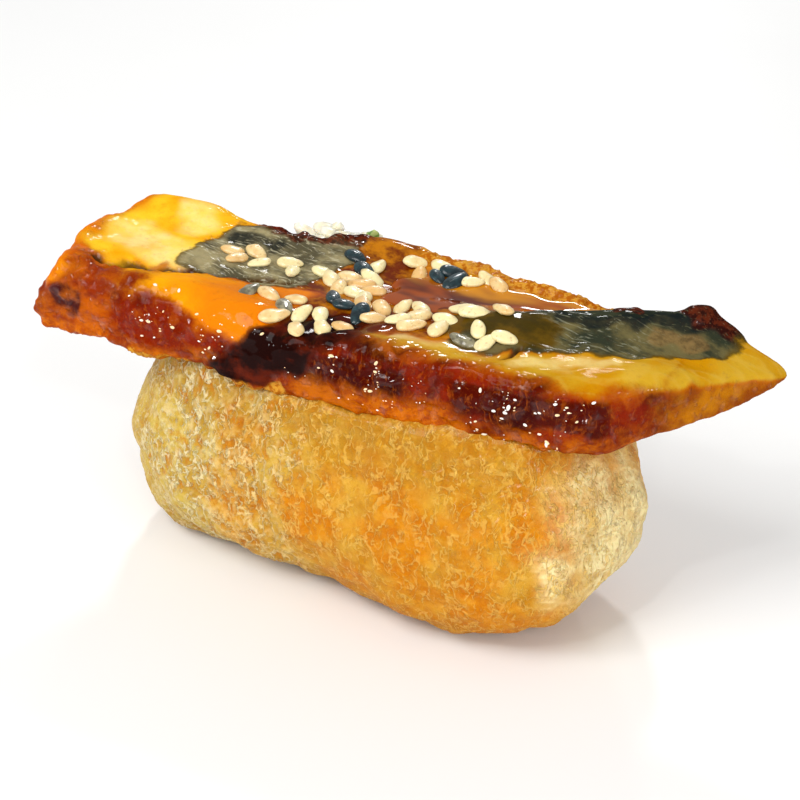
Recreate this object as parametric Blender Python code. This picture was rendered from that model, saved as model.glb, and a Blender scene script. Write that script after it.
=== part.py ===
"""Inari sushi: a fried tofu pouch filled with rice, with a slice of grilled eel laid across it.

+X runs along the pouch, +Y to its back, +Z up. The origin is the middle of the flat base.
Sizes below are in millimetres; link_solid() scales each finished mesh to metres.
"""

import math

import bmesh
import bpy
from mathutils import Matrix, Vector, noise

MM = 0.001

# The pouch: half a sheet of fried tofu opened into a bag. Its front rim rolls in under the eel.
POUCH_LENGTH = 63.4
POUCH_WIDTH = 31.2
POUCH_WALL = 2.0
POUCH_CORNER = 3.2  # superellipse exponent of the outline seen from above
BELLY_HEIGHT = 12.6  # the walls are widest here
# Exponent of the rounding below the belly, by direction in degrees: -90 is the front, 0 the right end.
BELLY_ROUND = ((-180, 6.0), (-164, 5.2), (-150, 2.8), (-135, 2.3), (-90, 2.2), (-50, 2.7), (-30, 3.1),
               (0, 2.5), (60, 2.4), (120, 2.4), (180, 6.0))
BASE_SINK = 0.9  # how much of the round bottom is pressed flat
WALL_TOP = 23.6  # where the rim starts
WALL_DRAW_IN = 0.11  # share of the width that the walls lean in at their top
LIP_IN = (4.8, 0.3)  # how far the rim leans in, at the front and the back
LIP_UP = (2.6, 3.7)  # how far it rises
POUCH_LUMP = (11.0, 0.5)  # size and height of the pouch's irregular bumps
POUCH_SIDES = 56

# The rice: it fills the pouch and stands up behind the eel.
RICE_EDGE = (23.8, 26.5)  # height of the dome's foot, at the front and the back
RICE_DOME = 8.6
RICE_SHOULDER = 3.2  # exponent of the dome's rounding
RICE_PEAK = (-12.5, 12.0)  # the grains stand highest here
RICE_PEAK_RISE = 2.8
RICE_PEAK_WIDTH = 6.5
RICE_LUMP = (4.0, 0.35)
RICE_CLEAR = 0.85  # gap to the pouch's wall, which is thickest in its corners
RICE_UNDER_LIP = 2.6  # how much further in it stays under the rolled rim
RICE_UNDER_EEL = 1.2  # how far it stays below the eel
RICE_BEHIND_EEL = 0.12  # and how far behind it, as a share of the eel's half width
RICE_SIDES = 48

# The eel slice: a long front edge that bends back to a point at the right end, and a stepped back edge.
EEL_LEFT = -39.0
EEL_RIGHT = 44.0
EEL_BACK_CORNER = 0.6  # how far the back left corner is pulled in along X
# How far the left end's top front corner is set back from the lower tip, and the exponent by which that
# fades towards the back.
EEL_END_SLOPE = (4.2, 2.8)
EEL_FRONT_MIDDLE = -13.8  # y of the front edge at x = 0
EEL_FRONT_SLANT = 0.09  # how much that edge runs back for each millimetre to the right
EEL_TIP_Y = 11.0
EEL_TIP_SLANT = 1.85  # the same for the edge that leads to the tip
EEL_TIP_BEND = 7.0  # how round the bend between the two edges is
EEL_BACK = (8.0, 12.6)  # y of the back edge, left and right of its step
EEL_BACK_STEP = (-18.0, -5.0)
EEL_BACK_SLANT = 0.02
EEL_CORNER_CUT = (4.0, 8.0)  # how deep and how long the back left corner is rounded
EEL_TOP = (35.3, 34.4)  # height of the top, left and right of its step
EEL_TOP_STEP = (-22.0, -10.0)
EEL_TIP_START = 32.5  # from here to the tip the slice thins
EEL_TIP_DROP = 3.1  # how much its top comes down there
EEL_TIP_RISE = 3.7  # and how much its underside comes up
EEL_FRONT_EDGE = (29.2, 30.4)  # height of the front edge line, at the left and right ends
EEL_BACK_EDGE = (33.3, 30.8)
EEL_FRONT_FLOOR = 26.3
EEL_TOE_RISE = (2.0, 6.0)  # how much, over what length, the underside comes up at the left end
EEL_BACK_FLOOR = (31.4, 30.0)
EEL_SIDES = 46
EEL_RINGS = 44
EEL_SHOULDER = 5.0  # exponent of the corner between the top and the sides
EEL_KEEL = 7.0  # exponent of the corner between the underside and the sides
EEL_LUMP = (5.0, 0.35)
EEL_END_LENGTH = (1.8, 3.0)  # how far from its left and right ends the slice starts to close
EEL_END_ROUND = (2.4, 2.0)  # exponents of that rounding
EEL_END_RINGS = 0.45  # how much closer its rings stand at the ends than in the middle

# Folds of the eel's top: name, path, half width, height. A path's points are (x, place across), where
# the place is -1 on the front edge, 0 in the middle and 1 on the back edge. A furrow's height is negative.
EEL_FOLDS = (
    ("pale_lobe", ((-35.5, 0.8), (-29, 0.8)), 3.8, 2.2),
    ("left_rim", ((-37, -0.3), (-36, 0.2)), 2.4, 1.5),
    ("amber_lobe", ((-18, -0.7), (-8, -0.8)), 2.5, 1.0),
    ("long_furrow", ((-30, -0.6), (-22, -0.4), (-14, -0.1)), 1.3, -1.3),
    ("skin_valley", ((-18, 0.3), (-8, 0.2)), 3.0, -0.7),
    ("front_crest", ((-34, -0.8), (-22, -0.9)), 1.6, 0.6),
    ("glaze_gully", ((1, -0.6), (-5, -1.0)), 2.5, -1.2),
    ("centre_hollow", ((-4, -0.2), (3, -0.2)), 3.0, -0.5),
    ("right_crest", ((6, -0.9), (27, -0.9)), 1.7, 0.5),
    ("skin_ridge", ((15, -0.2), (24, 0.2), (32, 0.6)), 2.8, 2.2),
    ("skin_knob", ((34, 0.85), (35, 0.85)), 1.8, 3.2),
    ("glaze_hollow", ((0, 0.4), (17, 0.7)), 3.6, -1.8),
    ("back_crest_left", ((-20, 0.9), (-12, 0.9)), 2.6, 1.2),
    ("back_crest", ((-8, 0.95), (-2, 0.95)), 2.4, 1.7),
    ("back_crest_right", ((5, 0.95), (11, 0.95), (18, 0.95)), 1.8, 1.0),
    ("back_dip", ((24, 0.95), (30, 0.95)), 2.4, -1.9),
)


def smooth(share):
    """0 to 1 with level ends."""
    share = max(0.0, min(1.0, share))
    return share * share * (3.0 - 2.0 * share)


def blend(a, b, share):
    return a + (b - a) * share


def along(stations, x):
    """The value at x on a smooth line through (x, value) stations."""
    for (x0, v0), (x1, v1) in zip(stations, stations[1:]):
        if x <= x1:
            return blend(v0, v1, max(0.0, (x - x0) / (x1 - x0)))
    return stations[-1][1]


def soft_greater(a, b, bend):
    """The greater of two values, with the change from one to the other rounded."""
    return (a + b + math.hypot(a - b, bend)) / 2.0


def superellipse(share, power):
    """Height of a superellipse quadrant, 1 at share 0 and 0 at share 1."""
    return (1.0 - min(1.0, abs(share)) ** power) ** (1.0 / power)


def distance_to_path(x, y, path):
    """Shortest distance in plan from (x, y) to a chain of points."""
    point = Vector((x, y))
    nearest = math.inf
    for start, end in zip(path, path[1:]):
        a = Vector(start)
        run = Vector(end) - a
        share = max(0.0, min(1.0, (point - a).dot(run) / run.length_squared))
        nearest = min(nearest, (point - a - run * share).length)
    return nearest


def lump(point, size, height):
    """A soft irregularity with bumps of about that size."""
    return height * noise.noise(Vector(point) / size)


# Pouch and rice share one outline, seen from above.


def pouch_radius(angle):
    """Distance from the centre to the outer wall in that direction, at the belly."""
    a, b = POUCH_LENGTH / 2.0, POUCH_WIDTH / 2.0
    c, s = abs(math.cos(angle)), abs(math.sin(angle))
    return ((c / a) ** POUCH_CORNER + (s / b) ** POUCH_CORNER) ** (-1.0 / POUCH_CORNER)


def front_to_back(pair, angle):
    """Between a front and a back value, by the direction seen from the middle."""
    return blend(*pair, smooth((math.sin(angle) + 1.0) / 2.0))


def wall_lean(height):
    """The wall's distance out at a height, as a share of pouch_radius."""
    above = max(0.0, height - BELLY_HEIGHT) / (WALL_TOP - BELLY_HEIGHT)
    return 1.0 - WALL_DRAW_IN * above ** 2


def bowl_profile(rings_below, rings_above):
    """(share of the radius, level) from the middle of the base up to the wall's top.

    Levels run from 0 to 1 below the belly and from 1 to 2 above it."""
    below = [(math.sin(step * math.pi / 2 / rings_below), step / rings_below)
             for step in range(rings_below)]
    return below + [(1.0, 1.0 + step / rings_above) for step in range(rings_above + 1)]


def spun_blank(profile, sides):
    """A round pot turned from the profile about Z: a point's distance is its share, its Z the level."""
    bm = bmesh.new()
    points = [bm.verts.new((r, 0.0, h)) for r, h in profile]
    edges = [bm.edges.new(pair) for pair in zip(points, points[1:])]
    bmesh.ops.spin(bm, geom=points + edges, axis=(0, 0, 1), cent=(0, 0, 0), angle=math.tau,
                   steps=sides, use_merge=True)
    bmesh.ops.remove_doubles(bm, verts=bm.verts, dist=1e-5)
    bmesh.ops.recalc_face_normals(bm, faces=bm.faces)
    return bm


def bowl_point(share, level, angle, inset, top):
    """Where the blank's point lies on the bowl, inset by that distance from the outer wall."""
    if level <= 1.0:
        round_height = superellipse(share, along(BELLY_ROUND, math.degrees(angle)))
        height = max(0.0, BELLY_HEIGHT * (1.0 - round_height) - BASE_SINK * round_height)
        height = blend(inset, BELLY_HEIGHT, height / BELLY_HEIGHT)
    else:
        height = blend(BELLY_HEIGHT, top, level - 1.0)
    outer = pouch_radius(angle) * wall_lean(height)
    ahead = Vector((math.cos(angle), math.sin(angle), 0.0))
    outer += lump(ahead * outer + Vector((0.0, 0.0, height)), *POUCH_LUMP)
    return ahead * share * (outer - inset) + Vector((0.0, 0.0, height))


def make_pouch():
    """The outer skin, given its thickness inwards by Solidify."""
    lip_rings = 4
    profile = bowl_profile(11, 5) + [(1.0, 2.0 + ring / lip_rings) for ring in range(1, lip_rings + 1)]
    bm = spun_blank(profile, POUCH_SIDES)
    for vert in bm.verts:
        angle = math.atan2(vert.co.y, vert.co.x)
        share = math.hypot(vert.co.x, vert.co.y)
        turn = max(0.0, vert.co.z - 2.0) * math.pi / 2
        ahead = Vector((math.cos(angle), math.sin(angle), 0.0))
        place = bowl_point(share, min(vert.co.z, 2.0), angle, 0.0, WALL_TOP)
        place -= ahead * front_to_back(LIP_IN, angle) * (1.0 - math.cos(turn))
        place.z += front_to_back(LIP_UP, angle) * math.sin(turn)
        vert.co = place
    pouch = link_solid("tofu_pouch", bm, (0.85, 0.50, 0.14), 0.55)
    walls = pouch.modifiers.new("wall", "SOLIDIFY")
    walls.thickness = POUCH_WALL * MM
    walls.offset = -1.0
    walls.use_even_offset = True
    return pouch


# The eel slice, as one surface above its edge line and one below it.


def eel_share(x):
    """0 at the slice's left end, 1 at its tip."""
    return (x - EEL_LEFT) / (EEL_RIGHT - EEL_LEFT)


def eel_thinning(x):
    """0 along the slice, growing to 1 at the tip."""
    return max(0.0, (x - EEL_TIP_START) / (EEL_RIGHT - EEL_TIP_START))


def stepped(pair, step, x):
    """The first value left of a step, the second right of it."""
    return blend(*pair, smooth((x - step[0]) / (step[1] - step[0])))


def near_left_end(size, x):
    """A (depth, length) cut, full at the left end and fading over its length."""
    depth, length = size
    return depth * max(0.0, 1.0 - (x - EEL_LEFT) / length) ** 2


def eel_front(x):
    long_edge = EEL_FRONT_MIDDLE + EEL_FRONT_SLANT * x
    tip_edge = EEL_TIP_Y - EEL_TIP_SLANT * (EEL_RIGHT - x)
    return soft_greater(long_edge, tip_edge, EEL_TIP_BEND)


def eel_back(x):
    return stepped(EEL_BACK, EEL_BACK_STEP, x) + EEL_BACK_SLANT * x - near_left_end(EEL_CORNER_CUT, x)


def eel_across(x, y):
    """-1 at the slice's front edge, 1 at its back edge."""
    return (2.0 * y - eel_front(x) - eel_back(x)) / (eel_back(x) - eel_front(x))


def on_eel(x, across):
    """The plan place of a point given by its x and its place across."""
    return x, blend(eel_front(x), eel_back(x), (across + 1.0) / 2.0)


def eel_edge(x, across):
    edges = (blend(*EEL_FRONT_EDGE, eel_share(x) ** 2), blend(*EEL_BACK_EDGE, eel_share(x) ** 2))
    return blend(*edges, (across + 1.0) / 2.0)


def eel_floor(x, across):
    """The underside: it drops from the rice's dome to the pouch's front rim."""
    front = EEL_FRONT_FLOOR + near_left_end(EEL_TOE_RISE, x) + EEL_TIP_RISE * eel_thinning(x) ** 1.2
    back = blend(*EEL_BACK_FLOOR, eel_share(x))
    return blend(front, back, smooth((across + 1.0) / 2.0 + 0.05))


def eel_crown(x, y):
    height = stepped(EEL_TOP, EEL_TOP_STEP, x) - EEL_TIP_DROP * eel_thinning(x) ** 1.5
    for _, path, width, rise in EEL_FOLDS:
        from_fold = distance_to_path(x, y, [on_eel(*point) for point in path]) / width
        height += rise * math.exp(-(from_fold ** 2))
    return height


def eel_underside(x, y):
    """Height of the slice's underside over a point, and a great height where there is no eel."""
    across = eel_across(x, y)
    if abs(across) >= 1.0 + RICE_BEHIND_EEL or not EEL_LEFT < x < EEL_RIGHT:
        return math.inf
    edge = eel_edge(x, across)
    return edge - (edge - eel_floor(x, across)) * superellipse(across, EEL_KEEL)


def end_closing(from_left, from_right):
    """1 along the slice, closing to 0 at its blunt left end and its pointed right end."""
    ends = zip((from_left, from_right), EEL_END_LENGTH, EEL_END_ROUND)
    return min(superellipse(1.0 - min(1.0, gap / length), power) for gap, length, power in ends)


def eel_point(direction):
    """Where a point of the blank sphere, whose poles are the slice's two ends, lies on the slice."""
    station = math.acos(max(-1.0, min(1.0, -direction.x))) / math.pi
    station = blend(station, 0.5 - 0.5 * math.cos(math.pi * station), EEL_END_RINGS)
    turn = math.atan2(direction.z, direction.y)
    across, above = math.cos(turn), math.sin(turn)
    left = EEL_LEFT + EEL_BACK_CORNER * max(0.0, across) ** 2
    if above > 0.0:
        depth, fading = EEL_END_SLOPE
        left += depth * superellipse(across, EEL_SHOULDER) * ((1.0 - across) / 2.0) ** fading
    x = blend(left, EEL_RIGHT, station)
    closing = end_closing(x - left, EEL_RIGHT - x)
    y = on_eel(x, across * closing)[1]
    edge = eel_edge(x, across)
    if above > 0.0:
        rise = (eel_crown(x, y) - edge) * superellipse(across, EEL_SHOULDER)
    else:
        rise = (eel_floor(x, across) - edge) * superellipse(across, EEL_KEEL)
    place = Vector((x, y, edge + rise * closing))
    if above > 0.0:
        place += direction * lump(place, *EEL_LUMP) * closing
    return place


def make_eel():
    bm = bmesh.new()
    bmesh.ops.create_uvsphere(bm, u_segments=EEL_SIDES, v_segments=EEL_RINGS, radius=1.0)
    bmesh.ops.rotate(bm, verts=bm.verts, cent=(0, 0, 0), matrix=Matrix.Rotation(math.pi / 2, 3, "Y"))
    for vert in bm.verts:
        vert.co = eel_point(vert.co.normalized())
    bmesh.ops.recalc_face_normals(bm, faces=bm.faces)
    return link_solid("eel_slice", bm, (0.62, 0.22, 0.05), 0.3)


def rice_top(x, y, share, angle):
    """The rice's dome, kept under the eel."""
    dome = front_to_back(RICE_EDGE, angle) + RICE_DOME * superellipse(share, RICE_SHOULDER)
    from_peak = math.dist((x, y), RICE_PEAK) / RICE_PEAK_WIDTH
    dome += RICE_PEAK_RISE * math.exp(-(from_peak ** 2)) * superellipse(share, 5.0)
    dome += lump((x, y, 0.0), *RICE_LUMP) * (1.0 - share ** 6)
    return min(dome, eel_underside(x, y) - RICE_UNDER_EEL)


def make_rice():
    """The pouch's filling, a little inside its wall, closed by the dome."""
    dome_rings = 13
    dome = [(math.cos(ring * math.pi / 2 / dome_rings), 3.0) for ring in range(1, dome_rings + 1)]
    bm = spun_blank(bowl_profile(7, 3) + dome, RICE_SIDES)
    for vert in bm.verts:
        angle = math.atan2(vert.co.y, vert.co.x)
        share = math.hypot(vert.co.x, vert.co.y)
        level = min(vert.co.z, 2.0)
        rolled = front_to_back((RICE_UNDER_LIP, 0.0), angle) * smooth(level - 1.0)
        inset = POUCH_WALL + RICE_CLEAR + rolled
        place = bowl_point(share, level, angle, inset, front_to_back(RICE_EDGE, angle))
        if vert.co.z > 2.5:
            place.z = rice_top(place.x, place.y, share, angle)
        vert.co = place
    bmesh.ops.recalc_face_normals(bm, faces=bm.faces)
    return link_solid("rice_filling", bm, (0.86, 0.83, 0.72), 0.5)


def make_material(name, colour, roughness):
    material = bpy.data.materials.new(name)
    material.use_nodes = True
    shader = material.node_tree.nodes["Principled BSDF"]
    shader.inputs["Base Color"].default_value = (*colour, 1.0)
    shader.inputs["Roughness"].default_value = roughness
    shader.inputs["Metallic"].default_value = 0.0
    return material


def link_solid(name, bm, colour, roughness):
    """Turns a bmesh in millimetres into an object in metres, in its own material."""
    bmesh.ops.scale(bm, verts=bm.verts, vec=(MM, MM, MM))
    mesh = bpy.data.meshes.new(name)
    bm.to_mesh(mesh)
    bm.free()
    mesh.materials.append(make_material(name, colour, roughness))
    mesh.shade_smooth()
    solid = bpy.data.objects.new(name, mesh)
    bpy.context.scene.collection.objects.link(solid)
    return solid


def main():
    for old in list(bpy.data.objects):
        bpy.data.objects.remove(old)
    make_pouch()
    make_rice()
    make_eel()


main()
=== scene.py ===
# %% [markdown]
# Inari sushi: a pouch of fried tofu filled with rice, with a slice of grilled, glazed eel across it.
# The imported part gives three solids: the pouch, its rice and the eel. They have the right place and
# size, but no skin, grain or glaze. Each one is replaced here by a finer piece made from its own shape.

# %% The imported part
import math
import random

import bmesh
import bpy
import numpy as np
from mathutils import Matrix, Vector, noise
from mathutils.bvhtree import BVHTree


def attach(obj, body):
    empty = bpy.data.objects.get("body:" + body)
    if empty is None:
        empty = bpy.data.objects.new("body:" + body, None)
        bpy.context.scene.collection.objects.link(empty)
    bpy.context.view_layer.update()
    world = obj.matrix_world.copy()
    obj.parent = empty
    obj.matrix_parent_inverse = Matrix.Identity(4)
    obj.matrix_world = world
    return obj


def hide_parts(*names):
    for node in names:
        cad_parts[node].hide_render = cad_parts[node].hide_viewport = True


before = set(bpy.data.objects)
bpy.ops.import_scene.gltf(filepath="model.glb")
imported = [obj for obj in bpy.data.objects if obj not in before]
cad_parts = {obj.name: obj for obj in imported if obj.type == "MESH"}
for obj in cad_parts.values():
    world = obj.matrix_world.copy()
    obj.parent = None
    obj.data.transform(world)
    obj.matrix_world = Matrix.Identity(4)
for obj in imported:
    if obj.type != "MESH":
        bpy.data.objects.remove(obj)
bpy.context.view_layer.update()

MM = 0.001

# %% [markdown]
# Helpers for shapes. The solids are made of facets two or three millimetres wide. A voxel remesh turns
# such a solid into an even net of small squares, and some smoothing takes the facets away. Relief is then
# pushed out along the normals, worked out for all the points at once.


# %% An even fine copy of a solid
def finished(name, mesh, slot, *replaced):
    """Makes a mesh a piece of the object: it rides on the only body and stands for solids."""
    piece = bpy.data.objects.new(name, mesh)
    bpy.context.scene.collection.objects.link(piece)
    mesh.shade_smooth()
    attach(piece, "root")
    if replaced:
        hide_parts(*replaced)
    print(name, len(mesh.polygons), "faces")
    return piece


def evaluated(mesh, *modifiers):
    """The mesh after modifiers, each given as (type, settings)."""
    bench = bpy.data.objects.new("bench", mesh)
    bpy.context.scene.collection.objects.link(bench)
    for kind, settings in modifiers:
        modifier = bench.modifiers.new(kind.lower(), kind)
        for key, value in settings.items():
            setattr(modifier, key, value)
    view = bpy.context.evaluated_depsgraph_get()
    result = bpy.data.meshes.new_from_object(bench.evaluated_get(view))
    bpy.data.objects.remove(bench)
    return result


def fine_copy(node, voxel, smoothing, trim=None):
    """A solid's surface as small squares of about voxel millimetres, without its facets."""
    bm = bmesh.new()
    bm.from_mesh(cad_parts[node].data)
    bmesh.ops.remove_doubles(bm, verts=bm.verts, dist=0.01 * MM)
    bmesh.ops.join_triangles(bm, faces=bm.faces, angle_face_threshold=0.6, angle_shape_threshold=0.9)
    if trim:
        trim(bm)
    mesh = bpy.data.meshes.new(node + "_fine")
    bm.to_mesh(mesh)
    bm.free()
    return evaluated(mesh, ("SUBSURF", {"levels": 1, "render_levels": 1}),
                     ("REMESH", {"mode": "VOXEL", "voxel_size": voxel * MM}),
                     ("SMOOTH", {"factor": 0.5, "iterations": smoothing}))


def places(mesh):
    """The points of a mesh in millimetres, one row each."""
    flat = np.empty(len(mesh.vertices) * 3)
    mesh.vertices.foreach_get("co", flat)
    return flat.reshape(-1, 3) / MM


def directions(mesh):
    flat = np.empty(len(mesh.vertices) * 3, np.float32)
    mesh.vertices.foreach_get("normal", flat)
    return flat.reshape(-1, 3).astype(float)


def move_points(mesh, points):
    mesh.vertices.foreach_set("co", (points * MM).ravel())
    mesh.update()


def keep_mask(mesh, name, values):
    """Stores one number per point, which a material can read by its name."""
    layer = mesh.attributes.new(name, "FLOAT", "POINT")
    layer.data.foreach_set("value", np.asarray(values, np.float32))


# %% Noise and soft outlines over all points
def bumps(points, size, stretch=(1, 1, 1), shift=0.0):
    """Soft noise from -1 to 1 with bumps of about size millimetres, longer along a stretched axis."""
    spots = points / (size * np.array(stretch)) + shift
    return 1.6 * np.array([noise.noise(spot) for spot in spots.tolist()])


def ridges(points, size, stretch=(1, 1, 1), shift=0.0):
    """Thin connected crests, 1 on the crest and falling to 0."""
    return 1.0 - np.minimum(1.0, 2.2 * np.abs(bumps(points, size, stretch, shift)))


def step_up(values, low, high):
    """0 below low, 1 above high, smooth between."""
    share = np.clip((values - low) / (high - low), 0.0, 1.0)
    return share * share * (3.0 - 2.0 * share)


def span(points, path):
    """How far each point is from a path, and how far along the path, from 0 to 1."""
    path = np.array(path, float)
    nearest = np.full(len(points), np.inf)
    place = np.zeros(len(points))
    for k in range(len(path) - 1):
        run = path[k + 1] - path[k]
        share = np.clip((points - path[k]) @ run / (run @ run), 0.0, 1.0)
        gap = np.linalg.norm(points - path[k] - share[:, None] * run, axis=1)
        place = np.where(gap < nearest, (k + share) / (len(path) - 1), place)
        nearest = np.minimum(nearest, gap)
    return nearest, place


def stroke(points, path, width):
    """1 near a path, fading to 0 at twice the width."""
    return 1.0 - step_up(span(points, path)[0], 0.5 * width, 1.6 * width)


def wobbled(points, size, amount):
    """The same points pushed about, so that outlines drawn on them come out ragged."""
    push = [bumps(points, size, shift=17.0 * k) for k in range(1, points.shape[1] + 1)]
    return points + amount * np.array(push).T


# %% [markdown]
# Helpers for materials. A shader is a net of nodes, and sums written as nodes are hard to read. The class
# below wraps a node's output, so that 1 - mask or height * 0.3 adds the Math node by itself.


# %% A shader socket that can be reckoned with
class Wire:
    """An output of a node tree. Its operators add Math nodes."""

    def __init__(self, tree, socket=None):
        self.tree, self.socket = tree, socket

    def node(self, kind, settings=None, inputs=None, output=0):
        """Adds a node: first its settings, then the values or links of its inputs."""
        made = self.tree.nodes.new(kind)
        for key, value in (settings or {}).items():
            setattr(made, key, value)
        for key, value in (inputs or {}).items():
            if isinstance(value, Wire):
                self.tree.links.new(value.socket, made.inputs[key])
            else:
                made.inputs[key].default_value = value
        return Wire(self.tree, made.outputs[output])

    def maths(self, operation, first, second):
        return self.node("ShaderNodeMath", {"operation": operation}, {0: first, 1: second})

    def __add__(self, other):
        return self.maths("ADD", self, other)

    def __sub__(self, other):
        return self.maths("SUBTRACT", self, other)

    def __rsub__(self, other):
        return self.maths("SUBTRACT", other, self)

    def __mul__(self, other):
        return self.maths("MULTIPLY", self, other)

    __radd__ = __add__
    __rmul__ = __mul__

    def between(self, low, high):
        """0 below low, 1 above high, smooth between."""
        return self.node("ShaderNodeMapRange", {"interpolation_type": "SMOOTHSTEP"},
                         {"Value": self, "From Min": low, "From Max": high})

    def paint(self, under, over):
        """The colour under, covered by the colour over where this mask is 1."""
        return self.node("ShaderNodeMix", {"data_type": "RGBA"}, {0: self, 6: under, 7: over}, 2)

    def stretched(self, x, y, z):
        return self.node("ShaderNodeVectorMath", {"operation": "MULTIPLY"}, {0: self, 1: (x, y, z)})

    def grain(self, size, detail=2.0, roughness=0.5, stretch=(1, 1, 1)):
        """Noise from 0 to 1 over this place, with spots of about size millimetres."""
        spot = self.stretched(*(1 / (size * s) for s in stretch))
        return self.node("ShaderNodeTexNoise", None,
                         {"Vector": spot, "Scale": 1.0, "Detail": detail, "Roughness": roughness})

    def shifted(self, size, amount):
        """This place pushed about by noise with bumps of about size millimetres, by about that amount."""
        noise = self.node("ShaderNodeTexNoise", None, {"Vector": self.stretched(*[1 / size] * 3), "Scale": 1.0},
                          "Color")
        push = noise.node("ShaderNodeVectorMath", {"operation": "MULTIPLY_ADD"},
                          {0: noise, 1: [2 * amount] * 3, 2: [-amount] * 3})
        return push.node("ShaderNodeVectorMath", {"operation": "ADD"}, {0: self, 1: push})

    def mask(self, name):
        return self.node("ShaderNodeAttribute", {"attribute_name": name}, output="Fac")


def tone(code):
    """A colour written as RRGGBB, as the linear values that a shader works with."""
    shares = [int(code[k:k + 2], 16) / 255 for k in (0, 2, 4)]
    return (*(c / 12.92 if c <= 0.04045 else ((c + 0.055) / 1.055) ** 2.4 for c in shares), 1.0)


def new_finish(name, **constants):
    """A Principled material: returns it, its start of wires, its place in millimetres, and a way in."""
    material = bpy.data.materials.new(name)
    material.use_nodes = True
    tree = material.node_tree
    shader = tree.nodes["Principled BSDF"]
    for key, value in constants.items():
        shader.inputs[key.replace("_", " ")].default_value = value
    start = Wire(tree)
    place = start.node("ShaderNodeTexCoord", output="Object").stretched(1000, 1000, 1000)

    def feed(**wires):
        for key, wire in wires.items():
            tree.links.new(wire.socket, shader.inputs[key.replace("_", " ")])

    return material, start, place, feed


def with_bump(height, distance, strength=1.0):
    """A normal from a height in millimetres."""
    return height.node("ShaderNodeBump", None,
                       {"Height": height, "Distance": distance * MM, "Strength": strength}, "Normal")


# %% [markdown]
# The tofu pouch. Fried tofu has a spongy skin: pale threads and pores stand over a deeper gold, and
# simmering leaves it moist. The inside is cut away below the rim, where the rice hides it, so that all
# the fine squares go to the skin that shows.


# %% The pouch's shape
POUCH_VOXEL = 0.35
RIM_DEPTH = 19.0
POUCH_FOLDS = (-4.0, 9.0)  # x of the shallow creases down its front


def drop_inner_wall(bm):
    """Removes the pouch's inner wall below RIM_DEPTH and closes it with a floor there."""
    hidden = [f for f in bm.faces
              if f.calc_center_median().z < RIM_DEPTH * MM and inward(f.calc_center_median(), f.normal)]
    bmesh.ops.delete(bm, geom=hidden, context="FACES")
    edges = [e for e in bm.edges if e.is_boundary]
    bmesh.ops.holes_fill(bm, edges=edges)
    bmesh.ops.recalc_face_normals(bm, faces=bm.faces)


def inward(centre, normal):
    """Whether a face of the bowl looks towards its inside."""
    middle = Vector((0.0, 0.0, 14.0 * MM))
    reach = Vector((centre.x / 2.0, centre.y, centre.z)) - middle
    return normal.dot(reach) < 0.0


tofu_mesh = fine_copy("tofu_pouch", POUCH_VOXEL, 8, drop_inner_wall)
points, normals = places(tofu_mesh), directions(tofu_mesh)
to_the_right = step_up(points[:, 0], -6, 8)[:, None]
leaning = points + np.outer(points[:, 2], (0.5, 0.15, 0.0))
level = points * (0.45, 0.45, 2.4)
warped = wobbled(leaning * (1 - to_the_right) + level * to_the_right, 1.8, 0.5)
threads = ridges(warped, 0.9, (0.8, 0.8, 2.0))
net = ridges(points, 1.7, (1, 1, 1.3), 5.0)
patchy = step_up(bumps(points, 4.5, shift=9.0), -0.7, 0.7)
end_net = step_up(points[:, 0] + 2.5 * bumps(points, 4.0, shift=21.0), 26, 31)
pocked = (step_up(points[:, 0] + 4.0 * bumps(points, 5.0, shift=25.0), -26, -20)
          * (1 - 0.8 * step_up(points[:, 0], -6, 4)))
bubbles = bumps(points, 1.15, (1, 1, 1.2), 4.0)
craters = step_up(bubbles, 0.1, 0.7) * (0.25 + 0.75 * pocked)
crater_rims = step_up(bubbles, -0.35, 0.0) * (1 - step_up(bubbles, 0.05, 0.3)) * pocked
fibres = np.clip((0.2 + 0.5 * patchy) * threads + 0.5 * crater_rims + 0.25 * net ** 2 + 0.4 * end_net, 0, 1)
fibres = fibres * (1 - 0.8 * craters) * (1 - 0.3 * to_the_right[:, 0] * (1 - end_net))
relief = (0.40 * bumps(points, 8.0, shift=3.0) + 0.24 * bumps(points, 3.2, shift=1.0)
          + 0.12 * bumps(points, 1.5, (1.5, 1.5, 1), 6.0) + 0.16 * fibres - 0.20 * craters)
for fold_x in POUCH_FOLDS:
    from_fold = (points[:, 0] + 0.12 * points[:, 2] - fold_x + 0.8 * bumps(points, 6.0, shift=2.0)) / 1.3
    relief -= 0.35 * np.exp(-from_fold ** 2) * step_up(-points[:, 1], 4, 9)
on_plate = step_up(points[:, 2], 0.3, 2.5)
under_eel = step_up(points[:, 2], 22.5, 25.5) * step_up(-points[:, 1], 3, 6)
points = points + normals * (relief * on_plate)[:, None]
points[:, 2] += 1.1 * under_eel
move_points(tofu_mesh, points)
keep_mask(tofu_mesh, "fibres", fibres)
keep_mask(tofu_mesh, "craters", craters)
keep_mask(tofu_mesh, "end_net", end_net)
keep_mask(tofu_mesh, "pocked", pocked)
tofu_skin = finished("tofu_skin", tofu_mesh, "tofu", "tofu_pouch")

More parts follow.
